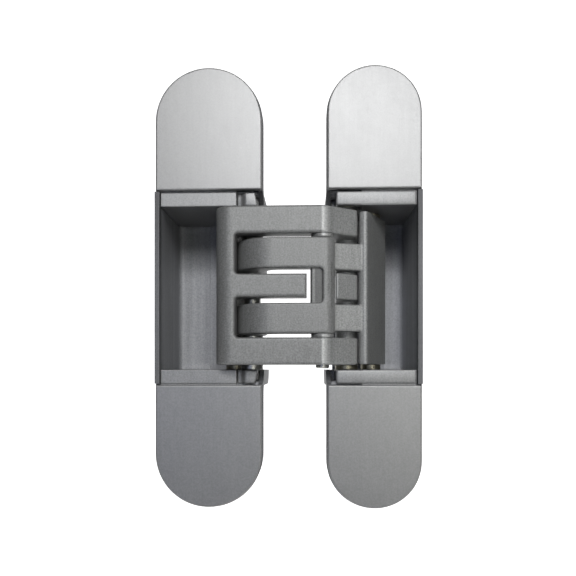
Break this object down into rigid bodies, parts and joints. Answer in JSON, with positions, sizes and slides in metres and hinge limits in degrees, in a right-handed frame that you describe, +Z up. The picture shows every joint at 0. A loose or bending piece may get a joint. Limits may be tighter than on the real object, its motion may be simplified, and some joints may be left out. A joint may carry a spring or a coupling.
{
  "type": "concealed door hinge",
  "caption": "Concealed door hinge: two round-ended bodies joined by crossing U and E arms that fold into their recesses, with clip-on covers, open at 180 degrees.",
  "frame": {"origin": "centre of the frame body's screw pattern, on the back of its end tabs, where the body seats in its mortise", "axes": "X runs from the frame body to the door body with the hinge open at 180 degrees, Y into the mortise, Z up the door's edge"},
  "size_m": [0.069, 0.0338, 0.114],
  "materials": {
    "casting_lacquer": "satin silver lacquer on a zinc die casting",
    "cover_lacquer": "satin silver lacquer",
    "steel": "satin",
    "bush_plastic": "matte"
  },
  "bodies": {
    "frame": {"frame_housing": "casting_lacquer", "frame_carrier_upper": "casting_lacquer", "frame_carrier_lower": "casting_lacquer", "frame_carrier_screws": "steel", "frame_cover_upper": "cover_lacquer", "frame_cover_lower": "cover_lacquer", "frame_pivot_pin": "steel", "frame_pivot_sleeves": "steel"},
    "u_arm": {"u_arm": "casting_lacquer", "door_guide_pin": "steel", "door_guide_washers": "steel", "door_guide_bushes": "bush_plastic"},
    "e_arm": {"e_arm": "casting_lacquer", "centre_pin": "steel", "centre_washers": "steel", "frame_guide_pin": "steel", "frame_guide_washers": "steel", "frame_guide_bushes": "bush_plastic"},
    "door": {"door_housing": "casting_lacquer", "door_carrier_upper": "casting_lacquer", "door_carrier_lower": "casting_lacquer", "door_carrier_screws": "steel", "door_cover_upper": "cover_lacquer", "door_cover_lower": "cover_lacquer", "door_pivot_pin": "steel", "door_pivot_washers": "steel"}
  },
  "joints": [
    {"name": "u_arm_swing", "type": "hinge", "parent": "frame", "child": "u_arm", "pos_m": [0.0107, 0.0032, 0], "axis": [0, 0, -1], "range_deg": [0, 106.83]},
    {"name": "arm_cross", "type": "hinge", "parent": "u_arm", "child": "e_arm", "pos_m": [0.0294, -0.006, 0], "axis": [0, 0, -1], "range_deg": [-27.6, 0]},
    {"name": "door_swing", "type": "hinge", "parent": "e_arm", "child": "door", "pos_m": [0.036, 0.0032, 0], "axis": [0, 0, -1], "range_deg": [0, 100.77]}
  ],
  "couplings": [
    {"joint": "arm_cross", "follows": "u_arm_swing", "ratio": -0.25833},
    {"joint": "door_swing", "follows": "u_arm_swing", "ratio": 0.94321}
  ]
}
